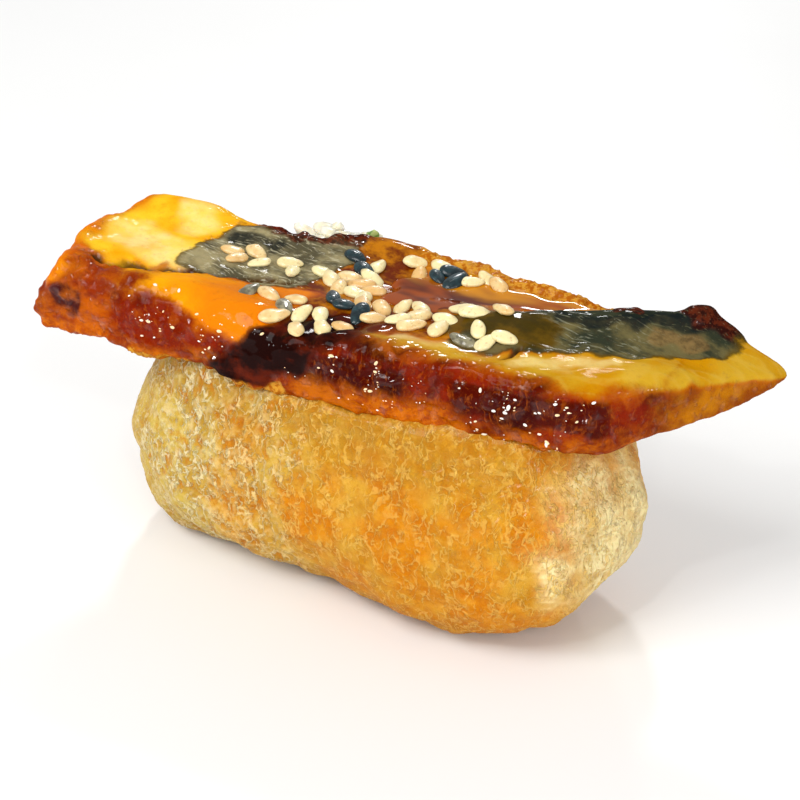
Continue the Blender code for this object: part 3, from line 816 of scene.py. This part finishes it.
material, start, place, feed = new_finish("black_sesame", Roughness=0.35, Specular_IOR_Level=0.2, Coat_Weight=0.6, Coat_Roughness=0.1)
feed(Base_Color=place.grain(0.9, 2.0).between(0.35, 0.7).paint(tone("0B1D22"), tone("1C3A40")),
     Normal=with_bump(place.grain(0.3, 3.0), 0.08))
black_sesame.data.materials.append(material)

material, start, place, feed = new_finish("soaked_sesame", Roughness=0.3, Coat_Weight=0.9, Coat_Roughness=0.08)
feed(Base_Color=place.grain(0.6, 3.0).between(0.35, 0.65).paint(tone("8D8668"), tone("55503A")),
     Normal=with_bump(place.grain(0.3, 3.0), 0.1))
soaked_sesame.data.materials.append(material)

# %% [markdown]
# The bubbles. Sugar boils in the glaze under the grill and leaves tiny bubbles in clumps on the crust. They are
# painted near white, as painted highlights that show as bright dots. They are seeded on the eel's own points, most of
# them very small.

# %% The glaze bubbles, painted white as highlights
BUBBLE_COUNT = 150
BUBBLE_SMALL, BUBBLE_SPREAD = 0.12, 0.42  # the least diameter in millimetres, and how much is added at most
points, normals = places(eel_mesh), directions(eel_mesh)
x, share = points[:, 0], across(points[:, 0], points[:, 1])
clumps = step_up(bumps(points, 3.5, shift=40.0), -0.1, 0.9) + 0.04
clumps = clumps * step_up(x, -26, -20) * (1 - step_up(x, 27, 33)) * step_up(points[:, 2] + 0.3 * x, 22, 26)
amber_foot = amber * step_up(0.14 - share, 0.0, 0.1)
likely = clumps * (crust * front_wall * (1 - glaze) * step_up(points[:, 2], 26.5, 28.5) + 0.5 * amber_foot)
chosen = np.random.default_rng(5).choice(len(points), BUBBLE_COUNT, False, likely / likely.sum())
spots = [laid(Vector(points[k] * MM), Vector(normals[k]), dice.uniform(0, 360), 0.0,
              BUBBLE_SMALL + BUBBLE_SPREAD * dice.random() ** 4) for k in chosen]
painted_glint_bubbles = scattered("painted_glint_bubbles", grain_shape(1.3, 0.9, 0.7, 8, 6, 0.2), spots, "eel")
material, start, place, feed = new_finish("painted_glint_bubbles", Roughness=0.15, Coat_Weight=1.0, Coat_Roughness=0.03)
# Painted highlights: the bubbles are near white, so they show as bright dots on the crust.
feed(Base_Color=start.mask("own").between(0.2, 0.8).paint(tone("FFFBF2"), tone("FFDDA8")))
painted_glint_bubbles.data.materials.append(material)

# %% [markdown]
# The herb fleck. One scrap of green leaf stands on the rice behind the eel. It is a thin folded sheet.

# %% The herb fleck
bm = bmesh.new()
bmesh.ops.create_grid(bm, x_segments=6, y_segments=5, size=0.5)
for vert in bm.verts:
    u, v = vert.co.x, vert.co.y
    vert.co = Vector((1.9 * u * (1 - abs(v)), 1.3 * v, 0.5 * abs(u) + 0.25 * math.sin(5 * v)))
bmesh.ops.solidify(bm, geom=bm.faces[:], thickness=0.12)
bmesh.ops.recalc_face_normals(bm, faces=bm.faces)
bmesh.ops.scale(bm, verts=bm.verts, vec=(MM, MM, MM))
herb_mesh = bpy.data.meshes.new("herb_fleck")
bm.to_mesh(herb_mesh)
bm.free()
under_herb = rice_tree.ray_cast(Vector((-9.0, 11.6, 60.0)) * MM, Vector((0, 0, -1)))[0]
herb_mesh.transform(laid(under_herb + Vector((0, 0, 0.3 * MM)), Vector((0.6, -0.8, 0.7)), 70))
herb_fleck = finished("herb_fleck", herb_mesh, "eel")
material, start, place, feed = new_finish("herb", Roughness=0.5)
feed(Base_Color=place.grain(0.6, 2.0).between(0.4, 0.6).paint(tone("5F7F2C"), tone("A9B46A")))
herb_fleck.data.materials.append(material)

# %% [markdown]
# Floor, light and camera. Everything stands on a pale floor in soft daylight. A few small bright lamps give
# the wet glaze its sharp sparkles. The camera looks down at 27 degrees from the front right.

# %% Floor
bm = bmesh.new()
bmesh.ops.create_grid(bm, x_segments=1, y_segments=1, size=3.0)
floor_mesh = bpy.data.meshes.new("floor")
bm.to_mesh(floor_mesh)
bm.free()
floor = bpy.data.objects.new("floor", floor_mesh)
bpy.context.scene.collection.objects.link(floor)
material, start, place, feed = new_finish("pale_floor", Roughness=0.6)
feed(Base_Color=place.grain(60.0, 2.0).paint(tone("F6F6F5"), tone("F2F2F1")))
floor_mesh.materials.append(material)

# %% Light and camera
AIM = Vector((2.1, 1.0, 20.9)) * MM
AZIMUTH, ELEVATION, DISTANCE = math.radians(34), math.radians(27), 0.2
FOCAL = 78.66


def around(azimuth, elevation, distance):
    """A place around the aim; azimuth 0 is in front, and elevation 90 is above."""
    azimuth, elevation = math.radians(azimuth), math.radians(elevation)
    return AIM + distance * Vector((math.sin(azimuth) * math.cos(elevation),
                                    -math.cos(azimuth) * math.cos(elevation), math.sin(elevation)))


def lamp(name, azimuth, elevation, distance, size, watts, colour=(1, 1, 1)):
    """A square lamp that looks at the food."""
    light = bpy.data.lights.new(name, "AREA")
    light.size, light.energy, light.color = size, watts, colour
    holder = bpy.data.objects.new(name, light)
    holder.location = around(azimuth, elevation, distance)
    holder.rotation_euler = (holder.location - AIM).to_track_quat("Z", "Y").to_euler()
    bpy.context.scene.collection.objects.link(holder)


lamp("soft_key", -15, 50, 0.7, 0.35, 2.6)
lamp("soft_fill", 66, 24, 0.9, 0.6, 1.8)
lamp("window_behind", 212, 43, 0.7, 0.07, 1.0)
lamp("window_low", 206, 17, 0.7, 0.05, 0.3)
for k, elevation in enumerate((14, 30, 22, 46, 16, 34, 24, 12)):
    lamp(f"sparkle_{k}", 20 * k - 55, elevation, 0.6, 0.025, 0.22)

world = bpy.data.worlds.new("daylight")
world.use_nodes = True
world.node_tree.nodes["Background"].inputs["Color"].default_value = (1.0, 1.0, 1.0, 1.0)
world.node_tree.nodes["Background"].inputs["Strength"].default_value = 0.42
scene = bpy.context.scene
scene.world = world
scene.view_settings.view_transform = "Standard"

camera = bpy.data.cameras.new("camera")
camera.lens, camera.sensor_width, camera.clip_start = FOCAL, 36.0, 0.01
eye = bpy.data.objects.new("camera", camera)
eye.location = around(34, 27, DISTANCE)
eye.rotation_euler = (eye.location - AIM).to_track_quat("Z", "Y").to_euler()
scene.collection.objects.link(eye)
scene.camera = eye

# %% The end
bpy.context.view_layer.update()
